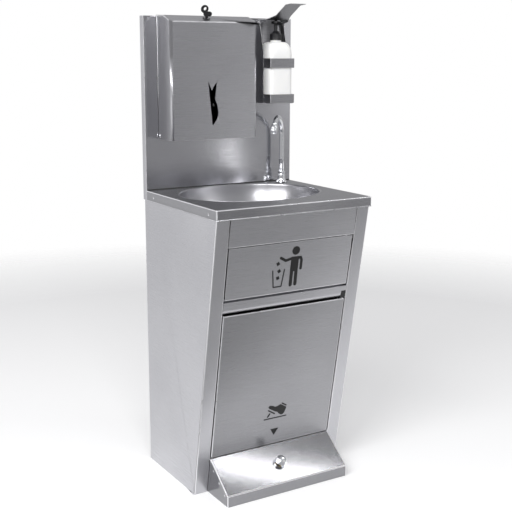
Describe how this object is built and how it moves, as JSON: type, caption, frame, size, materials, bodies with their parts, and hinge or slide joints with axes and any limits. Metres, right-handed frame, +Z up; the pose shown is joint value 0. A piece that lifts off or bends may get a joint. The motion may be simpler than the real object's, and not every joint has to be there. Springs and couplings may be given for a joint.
{
  "type": "portable handwash sink",
  "caption": "Free-standing stainless handwash sink with foot valve, swan-neck tap, soap and towel dispensers and a waste bin behind a push flap.",
  "frame": {"origin": "on the floor, under the middle of the unit's width and depth", "axes": "+Z up, front faces -Y, +X to the right seen from the front"},
  "size_m": [0.5028, 0.45, 1.386],
  "materials": {
    "satin_steel": "satin brushed stainless",
    "brushed_panel": "vertical brushed stainless",
    "cabinet_steel": "fine brushed stainless",
    "bright_pins": "polished stainless",
    "chrome_fittings": "polished chrome",
    "brass_fittings": "machined brass",
    "copper_pipe": "drawn copper",
    "black_rubber": "matt rubber",
    "black_plastic": "moulded black plastic",
    "bin_plastic": "grained dark plastic",
    "waste_plastic": "white waste fitting plastic",
    "bottle_plastic": "natural white blow-moulded plastic",
    "sign_film": "black vinyl",
    "paper": "folded paper towels"
  },
  "bodies": {
    "cabinet": {"worktop": "satin_steel", "worktop_rivets": "bright_pins", "basin_bowl": "satin_steel", "drain_strainer": "chrome_fittings", "drain_gasket": "black_rubber", "drain_nut": "waste_plastic", "bottle_trap": "waste_plastic", "waste_pipe": "waste_plastic", "back_panel": "brushed_panel", "panel_seal": "black_rubber", "left_side_panel": "cabinet_steel", "right_side_panel": "cabinet_steel", "rear_panel": "brushed_panel", "bin_shelf": "satin_steel", "upper_front_panel": "satin_steel", "grip_rail": "cabinet_steel", "flap_hinge_rod": "bright_pins", "rubber_stops": "black_rubber", "door_pivot_block": "black_plastic", "door_hinge_pins": "bright_pins", "door_magnet": "black_plastic", "waste_bin": "bin_plastic", "foot_box_base": "satin_steel", "foot_box_cover": "cabinet_steel", "foot_box_rivets": "bright_pins", "button_bezel": "chrome_fittings", "foot_valve_body": "brass_fittings", "supply_pipe": "copper_pipe", "tap_pipe": "copper_pipe", "inlet_fitting": "brass_fittings", "tap_body": "chrome_fittings", "tap_seal": "black_rubber", "tap_nut": "brass_fittings", "soap_bracket": "cabinet_steel", "soap_straps": "cabinet_steel", "soap_bottle": "bottle_plastic", "pump_collar": "black_plastic", "lever_pins": "bright_pins", "towel_back_plate": "cabinet_steel", "towel_hinge_pins": "bright_pins", "paper_stack": "paper", "dispenser_screws": "bright_pins"},
    "flap": {"bin_flap": "cabinet_steel", "flap_pictogram": "sign_film"},
    "door": {"bin_door": "cabinet_steel", "door_pictogram": "sign_film", "door_keeper": "bright_pins"},
    "button": {"foot_button": "chrome_fittings"},
    "spout": {"tap_spout": "chrome_fittings", "aerator": "chrome_fittings"},
    "lever": {"soap_lever": "cabinet_steel"},
    "pump": {"pump_head": "black_plastic"},
    "cover": {"towel_cover": "cabinet_steel", "lock_barrel": "black_plastic"},
    "lock": {"lock_plug": "chrome_fittings", "towel_key": "black_plastic"}
  },
  "joints": [
    {"name": "flap_hinge", "type": "hinge", "parent": "cabinet", "child": "flap", "pos_m": [0, -0.19619, 0.73818], "axis": [1, 0, 0], "range_deg": [0, 50]},
    {"name": "door_hinge", "type": "hinge", "parent": "cabinet", "child": "door", "pos_m": [0.1965, -0.08943, 0.11427], "axis": [0, -0.1726, 0.985], "range_deg": [0, 100]},
    {"name": "button_slide", "type": "slide", "parent": "cabinet", "child": "button", "axis": [0, 0.5959, -0.8031], "range_m": [0, 0.006], "stiffness_N_per_m": 900, "springref_m": -0.004},
    {"name": "spout_swivel", "type": "hinge", "parent": "cabinet", "child": "spout", "pos_m": [0.195, 0.163, 1], "axis": [0, 0, 1], "range_deg": [-20, 100]},
    {"name": "lever_hinge", "type": "hinge", "parent": "cabinet", "child": "lever", "pos_m": [0.1615, 0.18, 1.337], "axis": [1, 0, 0], "range_deg": [0, 18]},
    {"name": "pump_slide", "type": "slide", "parent": "cabinet", "child": "pump", "axis": [0, 0, -1], "range_m": [0, 0.0105], "stiffness_N_per_m": 800, "springref_m": -0.012},
    {"name": "cover_hinge", "type": "hinge", "parent": "cabinet", "child": "cover", "pos_m": [-0.06675, 0.192, 1.008], "axis": [1, 0, 0], "range_deg": [0, 80]},
    {"name": "lock_turn", "type": "hinge", "parent": "cover", "child": "lock", "pos_m": [-0.08175, 0.136, 1.34206], "axis": [0, -0.3489, 0.9371], "range_deg": [-90, 0]}
  ],
  "couplings": [
    {"joint": "pump_slide", "follows": "lever_hinge", "m_per_rad": 0.033423}
  ]
}
